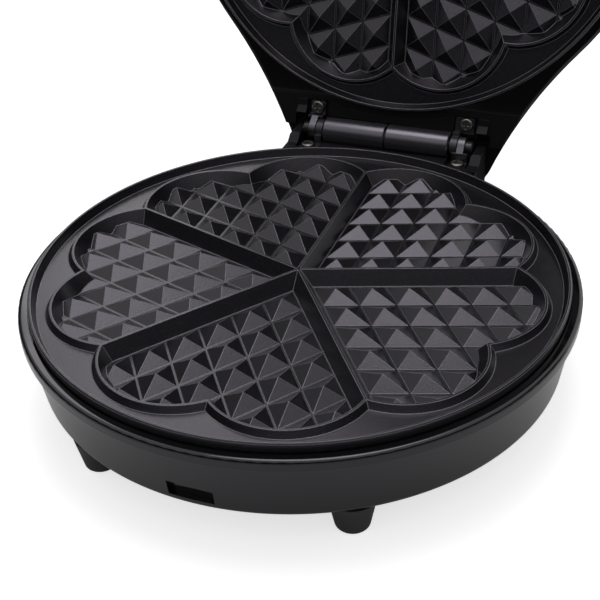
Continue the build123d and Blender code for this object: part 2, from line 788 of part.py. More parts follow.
with BuildPart() as base_housing:
    with BuildSketch(Plane.XZ) as shell:
        with BuildLine():
            Polyline(
                (0, housing_bottom),
                (housing_bottom_radius, housing_bottom),
                (wall_top_radius, rim_height - rim_band - rim_bevel),
                (rim_radius, rim_height - rim_band),
                (rim_radius, rim_height),
                (0, rim_height),
                close=True,
            )
        make_face()
        bottom_corner = shell.vertices().sort_by_distance((housing_bottom_radius, housing_bottom, 0))[0]
        fillet(bottom_corner, housing_bottom_corner)
        fillet(shell.vertices().sort_by_distance((rim_radius, rim_height, 0))[0], rim_round)
    revolve(axis=Axis.Z)
    with BuildSketch(Plane.YZ.offset(-cheek_outer)) as neck:
        with BuildLine():
            Polyline(
                (plate_radius / 2, housing_bottom),
                (neck_bottom_y, housing_bottom),
                (neck_top_y, deck_height),
                (plate_radius / 2, deck_height),
                close=True,
            )
        make_face()
        fillet(neck.vertices().sort_by_distance((neck_top_y, deck_height, 0))[0], deck_round)
        fillet(neck.vertices().sort_by_distance((neck_bottom_y, housing_bottom, 0))[0], housing_bottom_corner)
    extrude(amount=2 * cheek_outer)
    add(cheek(-1, cheek_back))
    with BuildSketch(Plane.XY.offset(rim_height)):
        Circle(rim_radius)
    extrude(amount=deck_drop * 2, mode=Mode.SUBTRACT)
    with BuildSketch(Plane.XZ):
        with BuildLine():
            Polyline(
                (0, housing_bottom - overrun),
                (bottom_opening_radius, housing_bottom - overrun),
                (bottom_opening_radius, housing_floor),
                (floor_inner_radius, housing_floor),
                (seat_wall_radius, seat_underside),
                (seat_inner_radius, seat_underside),
                (seat_inner_radius, plate_skirt_bottom),
                (opening_radius, plate_skirt_bottom),
                (opening_radius, parting_height),
                (0, parting_height),
                close=True,
            )
        make_face()
    revolve(axis=Axis.Z, mode=Mode.SUBTRACT)
    with BuildSketch(Plane.YZ.offset(-cheek_outer + wall)):
        with BuildLine():
            Polyline(
                (plate_radius - wall * 4, housing_floor),
                (neck_bottom_y + wall * neck_slope - wall, housing_floor),
                (neck_bottom_y + (seat_underside - housing_bottom) * neck_slope - wall, seat_underside),
                (plate_radius - wall * 4, seat_underside),
                close=True,
            )
        make_face()
    extrude(amount=2 * (cheek_outer - wall), mode=Mode.SUBTRACT)
    add(plate_tabs(-1))
    with BuildSketch(Plane.XY.offset(housing_bottom + cover_flange)):
        with PolarLocations(cover_screw_reach, cover_screw_count):
            Circle(cover_boss_radius)
    extrude(amount=cover_boss_top - housing_bottom - cover_flange)
    with BuildSketch(Plane.XY.offset(housing_bottom)):
        Circle(cover_radius + cover_gap)
    extrude(amount=cover_flange, mode=Mode.SUBTRACT)
    with BuildSketch(Plane.XY.offset(housing_bottom + cover_flange)):
        with PolarLocations(cover_screw_reach, cover_screw_count):
            Circle(screw_shank_radius + seat_clearance)
    extrude(amount=screw_length, mode=Mode.SUBTRACT)
    with BuildSketch(Plane.XY.offset(housing_bottom)):
        with Locations(*foot_places):
            Circle(foot_stem_radius + running_clearance)
    extrude(amount=wall, mode=Mode.SUBTRACT)
    add(tube_x(trough_radius, -cheek_inner, -barrel_end), mode=Mode.SUBTRACT)
    add(tube_x(barrel_radius + seat_clearance, -barrel_end, 0), mode=Mode.SUBTRACT)
    add(tube_x(trough_radius, 0, cheek_inner), mode=Mode.SUBTRACT)
    add(leaf_seats(-1), mode=Mode.SUBTRACT)
    with BuildSketch(Plane.XY.offset(parting_height)):
        with Locations((-barrel_middle, hinge_reach)):
            Circle(lead_hole_radius)
    extrude(amount=seat_underside - parting_height - overrun, mode=Mode.SUBTRACT)
    with BuildSketch(Plane.XY.offset(window_bottom)):
        with Locations((0, -housing_bottom_radius)):
            Rectangle(window_width, 4 * wall)
    extrude(amount=window_top - window_bottom, mode=Mode.SUBTRACT)
    with BuildSketch(Plane.YZ.offset(-cheek_outer)):
        with Locations((gland_reach, gland_height)):
            Circle(gland_neck_radius + seat_clearance)
    extrude(amount=wall, mode=Mode.SUBTRACT)

save(base_housing, "base_housing")

# Lid housing, drawn shut: the same rim and seat upside down, a drafted wall, a flat top and a tail
shoulder_height = lid_rim_height + rim_band
shaft_y = -knob_reach
lamp_places = [(-lamp_spacing / 2, -lamp_reach), (lamp_spacing / 2, -lamp_reach)]
latch_pin_length = latch_width + 2 * latch_pin_grip
handle_screw_spread = latch_pin_length / 2 + latch_pin_screw_gap
handle_screw_places = [(-handle_screw_spread, handle_middle), (handle_screw_spread, handle_middle)]
with BuildPart() as lid_shell:
    extrude(lid_outline(0, lid_rim_height), amount=rim_band)
    fillet(lid_shell.edges().group_by(Axis.Z)[0], rim_round)
    extrude(lid_outline(rim_step, shoulder_height), amount=lid_top_height - shoulder_height, taper=lid_draft)
    fillet(lid_shell.edges().group_by(Axis.Z)[-1], lid_top_round)

with BuildPart() as lid_housing:
    add(lid_shell.part)
    with BuildSketch(Plane.XY.offset(lid_deck_height)):
        with Locations((0, (plate_radius + hinge_reach) / 2)):
            Rectangle(2 * cheek_outer, hinge_reach - plate_radius)
        Circle(rim_radius, mode=Mode.SUBTRACT)
    extrude(amount=lid_rim_height - lid_deck_height + rim_round)
    add(cheek(1, -cheek_lid_back))
    with BuildSketch(Plane.XZ.offset(handle_pad_reach)):
        with Locations((0, handle_middle)):
            Rectangle(handle_width - 2 * handle_pad_side, handle_thickness - 2 * handle_pad_edge)
    extrude(amount=-handle_pad_depth)
    with BuildSketch(Plane.XZ):
        with BuildLine():
            Polyline(
                (0, parting_height),
                (opening_radius, parting_height),
                (opening_radius, lid_seat_height),
                (seat_inner_radius, lid_seat_height),
                (seat_inner_radius, lid_seat_height + seat_thickness),
                (seat_wall_radius - 2 * seat_margin, lid_seat_height + seat_thickness),
                (seat_wall_radius - wall, lid_ceiling - 2 * wall),
                (seat_wall_radius - 3 * wall, lid_ceiling),
                (0, lid_ceiling),
                close=True,
            )
        make_face()
    revolve(axis=Axis.Z, mode=Mode.SUBTRACT)
    with BuildSketch(Plane.YZ.offset(-tail_half_width + 2 * wall)):
        with BuildLine():
            Polyline(
                (plate_radius - wall * 4, lid_seat_height + seat_thickness),
                (hinge_reach + tail_length - 2 * wall, lid_seat_height + seat_thickness),
                (hinge_reach + tail_length - 3.5 * wall, lid_ceiling - wall),
                (plate_radius - wall * 4, lid_ceiling - wall),
                close=True,
            )
        make_face()
    extrude(amount=2 * tail_half_width - 4 * wall, mode=Mode.SUBTRACT)
    with BuildSketch(Plane.XZ.offset(handle_pad_reach)):
        with Locations((0, handle_middle)):
            Rectangle(handle_width - 2 * handle_pad_side, handle_thickness - 2 * handle_pad_edge)
    extrude(amount=-handle_pad_depth)
    add(plate_tabs(1))
    with BuildSketch(Plane.YZ.offset(-rim_radius)):
        with BuildLine():
            Polyline(
                (hinge_reach, parting_height - overrun),
                (hinge_reach + 2 * tail_length, parting_height - overrun),
                (hinge_reach + 2 * tail_length, parting_height + stop_depth),
                (hinge_reach, parting_height + stop_depth),
                close=True,
            )
        make_face()
    extrude(amount=2 * rim_radius, mode=Mode.SUBTRACT)
    add(tube_x(trough_radius, -cheek_outer - overrun, 0), mode=Mode.SUBTRACT)
    add(tube_x(barrel_radius + seat_clearance, 0, barrel_end), mode=Mode.SUBTRACT)
    add(tube_x(trough_radius, barrel_end, cheek_outer + overrun), mode=Mode.SUBTRACT)
    add(leaf_seats(1), mode=Mode.SUBTRACT)
    with BuildSketch(Plane.XY.offset(parting_height)):
        with Locations((barrel_middle, hinge_reach)):
            Circle(lead_hole_radius)
    extrude(amount=lid_seat_height + seat_thickness + overrun - parting_height, mode=Mode.SUBTRACT)
    with BuildSketch(Plane.XY.offset(lid_top_height)):
        with Locations((0, shaft_y)):
            Circle(dial_recess_radius)
    extrude(amount=-dial_recess_depth, mode=Mode.SUBTRACT)
    with BuildSketch(Plane.XY.offset(lid_top_height)):
        with Locations((0, shaft_y)):
            Circle(shaft_radius + 3 * running_clearance)
        with Locations(*lamp_places):
            Circle(lamp_radius + seat_clearance)
    extrude(amount=-wall - overrun, mode=Mode.SUBTRACT)
    with BuildSketch(Plane.XZ.offset(handle_pad_reach)):
        with Locations(*handle_screw_places):
            Circle(screw_shank_radius + seat_clearance)
    extrude(amount=-handle_pad_depth - overrun, mode=Mode.SUBTRACT)

save(lid_housing, "lid_housing", on_lid=True)

# Lid handle: a broad grip with a channel below for the latch
channel_end = handle_reach - handle_tip_wall
lever_tip = channel_end - latch_boss_radius - latch_lever_gap
latch_lever = lever_tip - latch_reach
channel_top = latch_height + latch_boss_radius + latch_clearance
with BuildPart() as lid_handle:
    with BuildSketch(Plane.XY.offset(handle_bottom)) as grip:
        with BuildLine():
            Polyline(
                (-handle_width / 2, -handle_pad_reach),
                (handle_width / 2, -handle_pad_reach),
                (handle_tip_width / 2, -handle_reach),
                (-handle_tip_width / 2, -handle_reach),
                close=True,
            )
        make_face()
        fillet(grip.vertices().group_by(Axis.Y)[0], handle_corner)
    extrude(amount=handle_top - handle_bottom)
    outer_edges = lid_handle.edges().filter_by(lambda edge: edge.center().Y < -handle_pad_reach - overrun)
    top_edges = outer_edges.filter_by_position(Axis.Z, handle_top, handle_top)
    bottom_edges = outer_edges.filter_by_position(Axis.Z, handle_bottom, handle_bottom)
    fillet(top_edges, handle_round)
    fillet(bottom_edges, handle_round / 2)
    with BuildSketch(Plane.XY.offset(handle_bottom)):
        with Locations((0, -(handle_pad_reach + channel_end) / 2)):
            Rectangle(latch_width + 2 * latch_clearance, channel_end - handle_pad_reach)
    extrude(amount=channel_top - handle_bottom, mode=Mode.SUBTRACT)
    with BuildSketch(Plane.YZ.offset(-latch_pin_length / 2)):
        with Locations((-latch_reach, latch_height)):
            Circle(latch_pin_radius + seat_clearance)
    extrude(amount=latch_pin_length, mode=Mode.SUBTRACT)
    with BuildSketch(Plane.XZ.offset(handle_pad_reach)):
        with Locations(*handle_screw_places):
            Circle(screw_shank_radius + seat_clearance)
    extrude(amount=2 * screw_length, mode=Mode.SUBTRACT)
save(lid_handle, "lid_handle", on_lid=True)

with BuildPart() as handle_screws:
    with BuildSketch(Plane.XZ.offset(handle_pad_reach - handle_pad_depth)):
        with Locations(*handle_screw_places):
            Circle(screw_head_radius)
    extrude(amount=-screw_head)
    with BuildSketch(Plane.XZ.offset(handle_pad_reach - handle_pad_depth)):
        with Locations(*handle_screw_places):
            Circle(screw_shank_radius)
    extrude(amount=handle_pad_depth + 1.5 * screw_length)
save(handle_screws, "handle_screws", on_lid=True)

with BuildPart() as latch_pin:
    with BuildSketch(Plane.YZ.offset(-latch_pin_length / 2)):
        with Locations((-latch_reach, latch_height)):
            Circle(latch_pin_radius)
    extrude(amount=latch_pin_length)
save(latch_pin, "latch_pin", on_lid=True)

# Latch, drawn hooked under the base and swung out before it is written
arm_inner = handle_pad_reach + latch_arm_gap
arm_outer = arm_inner + latch_arm_thickness
hook_wall_radius = housing_bottom_radius + wall_slope * (hook_top - housing_bottom)
hook_tip = hook_wall_radius - hook_bite
with BuildPart() as latch:
    with BuildSketch(Plane.YZ.offset(-latch_width / 2)):
        with Locations((-latch_reach, latch_height)):
            Circle(latch_boss_radius)
        with BuildLine():
            Polyline(
                (-latch_reach, latch_height + latch_boss_radius * 0.6),
                (-lever_tip, latch_height - latch_lever * 0.3),
                (-lever_tip, latch_height - latch_lever * 0.3 - latch_lever_thickness),
                (-latch_reach, latch_height - latch_boss_radius * 0.9),
                close=True,
            )
        make_face()
        with BuildLine():
            Polyline(
                (-latch_reach, latch_height + latch_boss_radius * 0.9),
                (-arm_inner, latch_height - latch_boss_radius * 0.6),
                (-arm_inner, latch_height - 3 * latch_boss_radius),
                (-arm_outer, latch_height - 3 * latch_boss_radius),
                (-arm_outer, latch_height - latch_boss_radius * 1.6),
                (-latch_reach, latch_height - latch_boss_radius * 0.8),
                close=True,
            )
        make_face()
    extrude(amount=latch_width)
    with BuildSketch(Plane.YZ.offset(-latch_arm_width / 2)):
        with BuildLine():
            Polyline(
                (-arm_inner, latch_height - 2.5 * latch_boss_radius),
                (-arm_inner, hook_top),
                (-hook_tip, hook_top),
                (-hook_tip, hook_top - hook_height / 2),
                (-(hook_tip + arm_inner) / 2, hook_top - hook_height),
                (-arm_outer, hook_top - hook_height),
                (-arm_outer, latch_height - 2.5 * latch_boss_radius),
                close=True,
            )
        make_face()
    extrude(amount=latch_arm_width)
    side_edges = latch.edges().filter_by(Axis.Y)
    fillet(side_edges.filter_by(lambda edge: edge.center().Z > hook_top + 2 * hook_height), latch_round)
    with BuildSketch(Plane.YZ.offset(-latch_width / 2)):
        with Locations((-latch_reach, latch_height)):
            Circle(latch_pin_radius + running_clearance)
    extrude(amount=latch_width, mode=Mode.SUBTRACT)
with BuildPart() as latch_out:
    add(latch.part.rotate(latch_axis, -latch_swing))
save(latch_out, "latch", on_lid=True)

# Bottom cover with air slots, its screws, and the four feet
slot_span = (cover_slot_count - 1) * cover_slot_pitch
with BuildPart() as bottom_cover:
    with BuildSketch(Plane.XY.offset(housing_bottom)):
        Circle(cover_radius)
    extrude(amount=cover_flange)
    with BuildSketch(Plane.XY.offset(housing_bottom)):
        Circle(bottom_opening_radius - cover_gap)
    extrude(amount=cover_thickness)
    with BuildSketch(Plane.XY.offset(housing_bottom)):
        with PolarLocations(cover_screw_reach, cover_screw_count):
            Circle(screw_shank_radius + screw_hole_clearance)
        for index in range(cover_slot_count):
            with Locations((index * cover_slot_pitch - slot_span / 2, 0)):
                SlotOverall(cover_slot_length, cover_slot_width, rotation=90)
    extrude(amount=cover_thickness, mode=Mode.SUBTRACT)
save(bottom_cover, "base_bottom_cover")

with BuildPart() as cover_screws:
    with BuildSketch(Plane.XY.offset(housing_bottom)):
        with PolarLocations(cover_screw_reach, cover_screw_count):
            Circle(screw_head_radius)
    extrude(amount=-screw_head)
    fillet(cover_screws.edges().filter_by(GeomType.CIRCLE).group_by(Axis.Z)[0], screw_head * 0.6)
    with BuildSketch(Plane.XY.offset(housing_bottom)):
        with PolarLocations(cover_screw_reach, cover_screw_count):
            Circle(screw_shank_radius)
    extrude(amount=screw_length)
    with BuildSketch(Plane.XY.offset(housing_bottom - screw_head)):
        with PolarLocations(cover_screw_reach, cover_screw_count):
            Rectangle(cross_length, cross_width)
            Rectangle(cross_width, cross_length)
    extrude(amount=cross_depth, mode=Mode.SUBTRACT)
save(cover_screws, "bottom_cover_screws")

foot_names = ["foot_front_left", "foot_front_right", "foot_rear_left", "foot_rear_right"]
for place, name in zip(foot_places, foot_names):
    with BuildPart() as foot:
        with BuildSketch(Plane.XZ) as profile:
            with BuildLine():
                Polyline(
                    (0, 0),
                    (foot_bottom_radius, 0),
                    (foot_top_radius, housing_bottom),
                    (foot_stem_radius, housing_bottom),
                    (foot_stem_radius, housing_bottom + wall),
                    (0, housing_bottom + wall),
                    close=True,
                )
            make_face()
            fillet(profile.vertices().sort_by_distance((foot_bottom_radius, 0, 0))[0], foot_round)
        revolve(axis=Axis.Z)
    with BuildPart() as placed_foot:
        add(foot.part.moved(Location((place[0], place[1], 0))))
    save(placed_foot, name)

# Hinge
base_barrel = hinge_barrel(-barrel_end, -barrel_gap, -1)
lid_barrel = hinge_barrel(barrel_gap, barrel_end, 1)
save(base_barrel, "base_hinge_barrel")
save(lid_barrel, "lid_hinge_barrel", on_lid=True)
save(hinge_pin(-pin_start - pin_length), "hinge_pin_left")
save(hinge_pin(pin_start), "hinge_pin_right")
with BuildPart() as lead_sleeve:
    add(tube_x(pin_radius, -sleeve_length / 2, sleeve_length / 2))
    add(tube_x(sleeve_bore_radius, -sleeve_length / 2, sleeve_length / 2), mode=Mode.SUBTRACT)
    with BuildSketch(Plane.XY.offset(parting_height)):
        with Locations((-barrel_middle, hinge_reach)):
            Circle(lead_hole_radius)
    extrude(amount=-barrel_radius, mode=Mode.SUBTRACT)
save(lead_sleeve, "lead_sleeve")
save(hinge_leaf(1, broad=True, left=True), "lid_hinge_leaf_left", on_lid=True)
save(hinge_leaf(1, broad=False), "lid_hinge_leaf_right", on_lid=True)
save(hinge_leaf(-1, broad=False, left=True), "base_hinge_leaf_left")
save(hinge_leaf(-1, broad=True), "base_hinge_leaf_right")
save(leaf_screws(-1), "base_leaf_screws")
save(leaf_screws(1), "lid_leaf_screws", on_lid=True)

# Thermostat under the lid's top, its dial knob and shaft
thermostat_bottom = lid_shield_top + thermostat_gap
thermostat_height = lid_ceiling - thermostat_bottom
shaft_socket = thermostat_height / 2
with BuildPart() as thermostat:
    with BuildSketch(Plane.XY.offset(thermostat_bottom)):
        with Locations((0, shaft_y)):
            RectangleRounded(thermostat_size, thermostat_size, thermostat_corner)
    extrude(amount=thermostat_height)
    with BuildSketch(Plane.XY.offset(lid_ceiling)):
        with Locations((0, shaft_y)):
            Circle(shaft_radius + running_clearance)
    extrude(amount=-shaft_socket, mode=Mode.SUBTRACT)
save(thermostat, "thermostat", on_lid=True)

knob_bottom = lid_top_height - dial_recess_depth + knob_gap
with BuildPart() as thermostat_knob:
    with BuildSketch(Plane.XY.offset(knob_bottom)):
        with Locations((0, shaft_y)):
            Circle(knob_radius)
            with PolarLocations(knob_radius + knob_grip_radius * 0.5, knob_grip_count):
                Circle(knob_grip_radius, mode=Mode.SUBTRACT)
    extrude(amount=knob_height - knob_cap)
    with BuildSketch(Plane.XY.offset(knob_bottom + knob_height - knob_cap)):
        with Locations((0, shaft_y)):
            Circle(knob_radius - knob_grip_radius)
    extrude(amount=knob_cap)
    fillet(thermostat_knob.edges().group_by(Axis.Z)[-1], knob_cap * 0.6)
    with BuildSketch(Plane.XY.offset(knob_bottom + knob_height)):
        with Locations((0, shaft_y + knob_radius * 0.55)):
            RectangleRounded(knob_mark_width, knob_radius / 2, 0.45 * knob_mark_width)
    extrude(amount=-knob_mark_depth, mode=Mode.SUBTRACT)
    with BuildSketch(Plane.XY.offset(knob_bottom)):
        with Locations((0, shaft_y)):
            Circle(shaft_radius + seat_clearance)
    extrude(amount=knob_height / 2, mode=Mode.SUBTRACT)
save(thermostat_knob, "thermostat_knob", on_lid=True)

with BuildPart() as thermostat_shaft:
    with BuildSketch(Plane.XY.offset(lid_ceiling - shaft_socket + shaft_end_gap)):
        with Locations((0, shaft_y)):
            Circle(shaft_radius)
    extrude(amount=knob_bottom + knob_height / 2 - lid_ceiling + shaft_socket - shaft_end_gap)
save(thermostat_shaft, "thermostat_shaft", on_lid=True)

# Indicator lamps: a holder below the top and two domed lenses
lamp_holder_length = lamp_spacing + 2 * lamp_radius + 2 * lamp_holder_end
lamp_holder_width = 2 * lamp_radius + 2 * lamp_holder_side
with BuildPart() as lamp_holder:
    with BuildSketch(Plane.XY.offset(lid_ceiling)):
        with Locations((0, -lamp_reach)):
            RectangleRounded(lamp_holder_length, lamp_holder_width, lamp_holder_corner)
    extrude(amount=lid_shield_top + lamp_gap - lid_ceiling)
save(lamp_holder, "lamp_holder", on_lid=True)

for place, name in zip(lamp_places, ["power_lamp_lens", "ready_lamp_lens"]):
    with BuildPart() as lens:
        with BuildSketch(Plane.XY.offset(lid_ceiling)):
            with Locations(place):
                Circle(lamp_radius)
        extrude(amount=wall + lamp_rise)
        fillet(lens.edges().group_by(Axis.Z)[-1], lamp_rise * 0.8)
    save(lens, name, on_lid=True)

# Terminal block, thermal fuse and cord gland
with BuildPart() as terminal_block:
    with BuildSketch(Plane.XY.offset(housing_floor)):
        with Locations((0, terminal_reach)):
            Rectangle(terminal_length, terminal_width)
    extrude(amount=terminal_height)
    with BuildSketch(Plane.XY.offset(housing_floor + terminal_height)):
        with Locations((0, terminal_reach)):
            with GridLocations(terminal_length / 3, terminal_width / 2, 3, 2):
                Circle(screw_shank_radius)
    extrude(amount=-terminal_height / 2, mode=Mode.SUBTRACT)
save(terminal_block, "terminal_block")

with BuildPart() as thermal_fuse:
    with BuildSketch(Plane.YZ.offset(-fuse_length / 2)):
        with Locations((fuse_reach, shield_floor_bottom - fuse_radius)):
            Circle(fuse_radius)
    extrude(amount=fuse_length)
    chamfer(thermal_fuse.edges().filter_by(GeomType.CIRCLE), fuse_bevel)
    with BuildSketch(Plane.YZ.offset(-fuse_length)):
        with Locations((fuse_reach, shield_floor_bottom - fuse_radius)):
            Circle(fuse_lead_radius)
    extrude(amount=2 * fuse_length)
save(thermal_fuse, "thermal_fuse")

with BuildPart() as cord_gland:
    with BuildSketch(Plane.YZ.offset(-cheek_outer)):
        with Locations((gland_reach, gland_height)):
            Circle(gland_flange_radius)
    extrude(amount=-gland_flange)
    with BuildSketch(Plane.YZ.offset(-cheek_outer)):
        with Locations((gland_reach, gland_height)):
            Circle(gland_neck_radius)
    extrude(amount=wall)
    with BuildSketch(Plane.YZ.offset(-cheek_outer + wall)):
        with Locations((gland_reach, gland_height)):
            Circle(gland_neck_radius + gland_lock)
    extrude(amount=gland_flange)
    fillet(cord_gland.edges().group_by(Axis.X)[0], gland_flange * 0.6)
    with BuildSketch(Plane.YZ.offset(-cheek_outer - gland_flange)):
        with Locations((gland_reach, gland_height)):
            Circle(gland_bore_radius)
    extrude(amount=2 * gland_flange + wall, mode=Mode.SUBTRACT)
save(cord_gland, "cord_gland")
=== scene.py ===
# %% [markdown]
# # Heart waffle maker: dressing a CAD model
# The CAD parts of a heart waffle maker arrive as one frame: a round black base with a five-heart plate, and a lid that
# stands open behind it. This lesson gives every part the finish of the real one, adds the few printed details that are
# too thin for the CAD and a pocket behind the latch window, and sets up the studio in which it is photographed.

# %% Load the frame
import json
import math

import bpy
import bmesh
from mathutils import Matrix, Vector


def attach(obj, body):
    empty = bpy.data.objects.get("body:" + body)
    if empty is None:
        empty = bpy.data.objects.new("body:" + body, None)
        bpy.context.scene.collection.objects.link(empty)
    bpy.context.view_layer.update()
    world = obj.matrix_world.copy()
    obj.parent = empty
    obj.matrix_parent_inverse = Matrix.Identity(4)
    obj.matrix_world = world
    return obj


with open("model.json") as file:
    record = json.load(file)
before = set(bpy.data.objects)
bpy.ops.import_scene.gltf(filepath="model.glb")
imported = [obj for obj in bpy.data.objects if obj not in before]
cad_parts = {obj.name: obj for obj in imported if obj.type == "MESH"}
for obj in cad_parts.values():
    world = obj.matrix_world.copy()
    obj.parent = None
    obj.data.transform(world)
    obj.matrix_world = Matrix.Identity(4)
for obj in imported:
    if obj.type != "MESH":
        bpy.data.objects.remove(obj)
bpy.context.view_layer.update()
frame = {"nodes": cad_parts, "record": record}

# %% [markdown]
# ## Camera
# The picture was taken from the front right, a third of the way up to straight above, with a slight lean of the
# camera. The view is rebuilt from its azimuth, elevation, distance and lean round a point on the plate, because those
# four numbers can be measured from the ellipses that the round plate makes, and they stay readable.

# %% Camera
MM = 0.001
view_azimuth = math.radians(22.20)
view_elevation = math.radians(33.90)
view_lean = math.radians(-2.68)
view_distance = 398.44 * MM
view_target = Vector((7.81, -19.16, 42.0)) * MM

toward_camera = Vector((
    math.sin(view_azimuth) * math.cos(view_elevation),
    -math.cos(view_azimuth) * math.cos(view_elevation),
    math.sin(view_elevation),
))
level_right = (-toward_camera).cross(Vector((0, 0, 1))).normalized()
level_up = level_right.cross(-toward_camera)
lean_right = math.cos(view_lean) * level_right + math.sin(view_lean) * level_up
lean_up = -math.sin(view_lean) * level_right + math.cos(view_lean) * level_up

camera_data = bpy.data.cameras.new("photo_camera")
camera_data.sensor_width = 36.0
camera_data.lens = 68.09
camera_data.clip_start = 0.01
camera_data.clip_end = 20.0
camera = bpy.data.objects.new("photo_camera", camera_data)
bpy.context.scene.collection.objects.link(camera)
turn = Matrix((lean_right, lean_up, toward_camera)).transposed().to_4x4()
camera.matrix_world = Matrix.Translation(view_target + toward_camera * view_distance) @ turn
bpy.context.scene.camera = camera
print("camera at", [round(v, 4) for v in camera.matrix_world.translation])

# %% [markdown]
# ## Helpers for materials
# A material is a small graph. A few helpers keep each one short: they make a material with its Principled shader, add
# a node with its values and links in one line, put a group in, and turn a mask into a range of values.

# %% Helpers for materials
def add_node(tree, kind, links=None, **values):
    """Add a node to a tree, set its properties or input values, and link inputs to the sockets given."""
    node = tree.nodes.new(kind)
    for name, value in values.items():
        if hasattr(node, name):
            setattr(node, name, value)
        else:
            node.inputs[name.replace("_", " ")].default_value = value
    for name, socket in (links or {}).items():
        tree.links.new(socket, node.inputs[name])
    return node


def new_material(name, colour, roughness, metallic=0.0, ior=1.5):
    material = bpy.data.materials.new(name)
    material.use_nodes = True
    tree = material.node_tree
    shader = tree.nodes["Principled BSDF"]
    shader.inputs["Base Color"].default_value = (*colour, 1)
    shader.inputs["Roughness"].default_value = roughness
    shader.inputs["Metallic"].default_value = metallic
    shader.inputs["IOR"].default_value = ior
    return material, tree, shader


def use_group(tree, group, links=None, **values):
    node = tree.nodes.new("ShaderNodeGroup")
    node.node_tree = group
    for name, value in values.items():
        node.inputs[name.replace("_", " ")].default_value = value
    for name, socket in (links or {}).items():
        tree.links.new(socket, node.inputs[name])
    return node


def new_group(name, inputs, outputs):
    """A shader node group with float inputs (name, default) and outputs (name, kind)."""
    group = bpy.data.node_groups.new(name, "ShaderNodeTree")
    group.interface.new_socket("Vector", in_out="INPUT", socket_type="NodeSocketVector")
    for label, default in inputs:
        socket = group.interface.new_socket(label, in_out="INPUT", socket_type="NodeSocketFloat")
        socket.default_value = default
    for label, kind in outputs:
        group.interface.new_socket(label, in_out="OUTPUT", socket_type="NodeSocket" + kind)
    start = group.nodes.new("NodeGroupInput")
    end = group.nodes.new("NodeGroupOutput")
    return group, start, end


def ramp(tree, socket, start, stop, low=0.0, high=1.0, **values):
    """A value that runs from low to high while the socket runs from start to stop."""
    node = add_node(tree, "ShaderNodeMapRange", {"Value": socket}, **values)
    for label, value in (("From Min", start), ("From Max", stop), ("To Min", low), ("To Max", high)):
        node.inputs[label].default_value = value
    return node.outputs["Result"]


print("helpers ready")

# %% [markdown]
# ## Moulded surface, a shared effect
# Moulded plastic is never quite flat: it has long shallow waves, a fine grain from the mould, and after handling a few
# smudges and specks of dust. All the plastic and rubber parts need that at their own scale, so it is one node group
# with sizes as inputs. It gives a height for the bump and two masks for roughness and colour.

# %% Moulded surface group
moulded, g_in, g_out = new_group(
    "moulded_surface",
    [("Wave Scale", 30.0), ("Grain Scale", 2500.0), ("Grain Depth", 0.2), ("Dust Amount", 0.3)],
    [("Height", "Float"), ("Smudge", "Float"), ("Dust", "Float")],
)
wave = add_node(moulded, "ShaderNodeTexNoise",
                {"Vector": g_in.outputs["Vector"], "Scale": g_in.outputs["Wave Scale"]}, Detail=1.0)
grain = add_node(moulded, "ShaderNodeTexNoise",
                 {"Vector": g_in.outputs["Vector"], "Scale": g_in.outputs["Grain Scale"]}, Detail=3.0)
grain_deep = add_node(moulded, "ShaderNodeMath", {0: grain.outputs["Fac"], 1: g_in.outputs["Grain Depth"]},
                      operation="MULTIPLY")
both = add_node(moulded, "ShaderNodeMath", {0: wave.outputs["Fac"], 1: grain_deep.outputs[0]}, operation="ADD")
moulded.links.new(both.outputs[0], g_out.inputs["Height"])
smudge_noise = add_node(moulded, "ShaderNodeTexNoise", {"Vector": g_in.outputs["Vector"]},
                        Scale=38.0, Detail=5.0, Roughness=0.65)
smudge = ramp(moulded, smudge_noise.outputs["Fac"], 0.45, 0.75, interpolation_type="SMOOTHSTEP")
moulded.links.new(smudge, g_out.inputs["Smudge"])
specks = add_node(moulded, "ShaderNodeTexVoronoi", {"Vector": g_in.outputs["Vector"]}, Scale=420.0)
speck_shape = ramp(moulded, specks.outputs["Distance"], 0.10, 0.04)
speck_pick = add_node(moulded, "ShaderNodeSeparateColor", {0: specks.outputs["Color"]})
speck_few = add_node(moulded, "ShaderNodeMath", {0: speck_pick.outputs[0]}, operation="GREATER_THAN")
speck_few.inputs[1].default_value = 0.82
speck_on = add_node(moulded, "ShaderNodeMath", {0: speck_shape, 1: speck_few.outputs[0]}, operation="MULTIPLY")
speck_amount = add_node(moulded, "ShaderNodeMath", {0: speck_on.outputs[0], 1: g_in.outputs["Dust Amount"]},
                        operation="MULTIPLY")
moulded.links.new(speck_amount.outputs[0], g_out.inputs["Dust"])
print("group:", moulded.name, len(moulded.nodes), "nodes")

# %% [markdown]
# ## Rounded edges, a shared effect
# Cast and moulded edges are never razor sharp. Their tiny radius is what draws the thin bright lines in the photo,
# along the crests of the hearts, the ridges of the pyramids and the lip. Rounding thousands of edges in the mesh
# would cost far too much, so a Bevel node turns the normals near each edge instead, and the bump is laid on top of
# it.

# %% Rounded edges group
rounded = bpy.data.node_groups.new("rounded_edges", "ShaderNodeTree")
rounded.interface.new_socket("Edge Radius", in_out="INPUT", socket_type="NodeSocketFloat").default_value = 0.0003
rounded.interface.new_socket("Height", in_out="INPUT", socket_type="NodeSocketFloat").default_value = 0.0
rounded.interface.new_socket("Depth", in_out="INPUT", socket_type="NodeSocketFloat").default_value = 0.00005
rounded.interface.new_socket("Normal", in_out="OUTPUT", socket_type="NodeSocketVector")
r_in = rounded.nodes.new("NodeGroupInput")
r_out = rounded.nodes.new("NodeGroupOutput")
soft = add_node(rounded, "ShaderNodeBevel", {"Radius": r_in.outputs["Edge Radius"]}, samples=6)
bump = add_node(rounded, "ShaderNodeBump", {"Height": r_in.outputs["Height"], "Distance": r_in.outputs["Depth"],
                                             "Normal": soft.outputs["Normal"]})
rounded.links.new(bump.outputs["Normal"], r_out.inputs["Normal"])
print("group:", rounded.name, len(rounded.nodes), "nodes")

